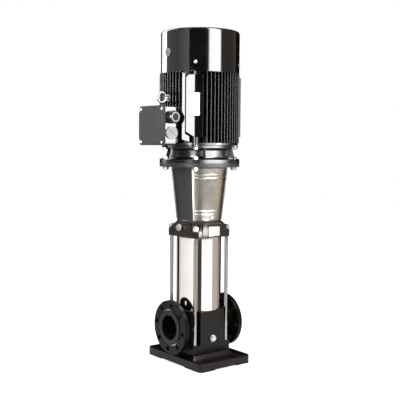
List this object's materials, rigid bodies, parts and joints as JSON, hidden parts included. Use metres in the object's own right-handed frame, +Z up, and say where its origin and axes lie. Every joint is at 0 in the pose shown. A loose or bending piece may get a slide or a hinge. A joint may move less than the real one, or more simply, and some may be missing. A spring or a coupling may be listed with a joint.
{
  "type": "inline multistage pump",
  "caption": "Vertical inline multistage pump: cast base with loose port flanges, stainless sleeve with tie rods, motor stool with guards, and a finned flange motor.",
  "frame": {"origin": "on the floor, on the shaft axis, at the centre of the foot bolt rectangle", "axes": "+Z up along the shaft; the inlet port faces -X, the outlet port +X, and the drain plug -Y"},
  "size_m": [0.4398, 0.39, 1.438],
  "materials": {
    "black_casting": "warm black semi-gloss paint on cast iron",
    "stool_paint": "dark grey satin paint on cast iron",
    "motor_paint": "glossy black paint",
    "cover_paint": "glossy black sheet steel",
    "box_paint": "dark grey satin paint",
    "mirror_stainless": "mirror-bright stainless steel",
    "satin_stainless": "brushed stainless sheet",
    "zinc_steel": "bright zinc-plated steel",
    "machined_steel": "machined steel",
    "stage_stainless": "pressed stainless steel",
    "core_steel": "laminated electrical steel",
    "copper_winding": "varnished copper wire",
    "black_rubber": "matte rubber",
    "grey_rubber": "grey moulded rubber",
    "black_plastic": "black moulded plastic",
    "white_plastic": "white moulded plastic",
    "board_plastic": "brown moulded insulator",
    "plain_plate": "bare pale plate",
    "seal_carbon": "dark sintered seal ring"
  },
  "bodies": {
    "pump": {"pump_base": "black_casting", "flange_lock_rings": "machined_steel", "outer_sleeve": "mirror_stainless", "sleeve_orings": "black_rubber", "tie_rods": "zinc_steel", "tie_rod_washers": "zinc_steel", "tie_rod_nuts": "zinc_steel", "suction_inlet": "stage_stainless", "stage_chambers": "stage_stainless", "bearing_bushes": "seal_carbon", "neck_rings": "white_plastic", "chamber_cap": "stage_stainless", "pump_head": "black_casting", "head_plate": "plain_plate", "seal_cover": "machined_steel", "seal_seat": "seal_carbon", "motor_stool": "stool_paint", "stool_screws": "machined_steel", "coupling_guard_front": "satin_stainless", "coupling_guard_rear": "satin_stainless", "guard_screws": "zinc_steel", "drive_end_shield": "motor_paint", "flange_bolts": "zinc_steel", "flange_nuts": "zinc_steel", "shield_screws": "zinc_steel", "bearing_outer_rings": "machined_steel", "motor_frame": "motor_paint", "rating_plate": "plain_plate", "stator_core": "core_steel", "stator_windings": "copper_winding", "rear_shield": "motor_paint", "fan_cover": "cover_paint", "fan_cover_screws": "zinc_steel", "fan_cover_plug": "grey_rubber", "terminal_box": "box_paint", "terminal_box_cover": "box_paint", "terminal_cover_screws": "zinc_steel", "terminal_board": "board_plastic", "cable_gland": "black_plastic", "cable_gland_nut": "black_plastic", "cable_gland_disc": "white_plastic", "blanking_plug": "zinc_steel", "lifting_eye": "zinc_steel"},
    "rotor": {"pump_shaft": "machined_steel", "impellers": "stage_stainless", "shaft_spacers": "machined_steel", "impeller_nut": "machined_steel", "seal_head": "machined_steel", "coupling_halves": "machined_steel", "coupling_screws": "zinc_steel", "motor_shaft": "machined_steel", "rotor_core": "core_steel", "bearing_inner_rings": "machined_steel", "cooling_fan": "black_plastic"},
    "inlet_flange": {"inlet_flange": "black_casting"},
    "outlet_flange": {"outlet_flange": "black_casting"},
    "drain_seal": {"drain_plug_seal": "machined_steel"},
    "drain_plug": {"drain_plug": "zinc_steel"},
    "filling_seal": {"filling_plug_seal": "machined_steel"},
    "filling_plug": {"filling_plug": "zinc_steel"}
  },
  "joints": [
    {"name": "shaft_spin", "type": "hinge", "parent": "pump", "child": "rotor", "pos_m": [0, 0, 0.8], "axis": [0, 0, 1], "continuous": true},
    {"name": "inlet_flange_turn", "type": "hinge", "parent": "pump", "child": "inlet_flange", "pos_m": [-0.1475, 0, 0.16], "axis": [1, 0, 0], "continuous": true},
    {"name": "outlet_flange_turn", "type": "hinge", "parent": "pump", "child": "outlet_flange", "pos_m": [0.1475, 0, 0.16], "axis": [1, 0, 0], "continuous": true},
    {"name": "drain_plug_out", "type": "slide", "parent": "pump", "child": "drain_seal", "axis": [0, -1, 0], "range_m": [0, 0.00907]},
    {"name": "drain_plug_turn", "type": "hinge", "parent": "drain_seal", "child": "drain_plug", "pos_m": [0, -0.105, 0.11], "axis": [0, -1, 0], "range_deg": [0, 1800]},
    {"name": "filling_plug_out", "type": "slide", "parent": "pump", "child": "filling_seal", "axis": [-1, 0, 0], "range_m": [0, 0.00907]},
    {"name": "filling_plug_turn", "type": "hinge", "parent": "filling_seal", "child": "filling_plug", "pos_m": [-0.112, 0, 0.594], "axis": [-1, 0, 0], "range_deg": [0, 1800]}
  ],
  "couplings": [
    {"joint": "drain_plug_turn", "follows": "drain_plug_out", "rad_per_m": 3463.7},
    {"joint": "filling_plug_turn", "follows": "filling_plug_out", "rad_per_m": 3463.7}
  ]
}
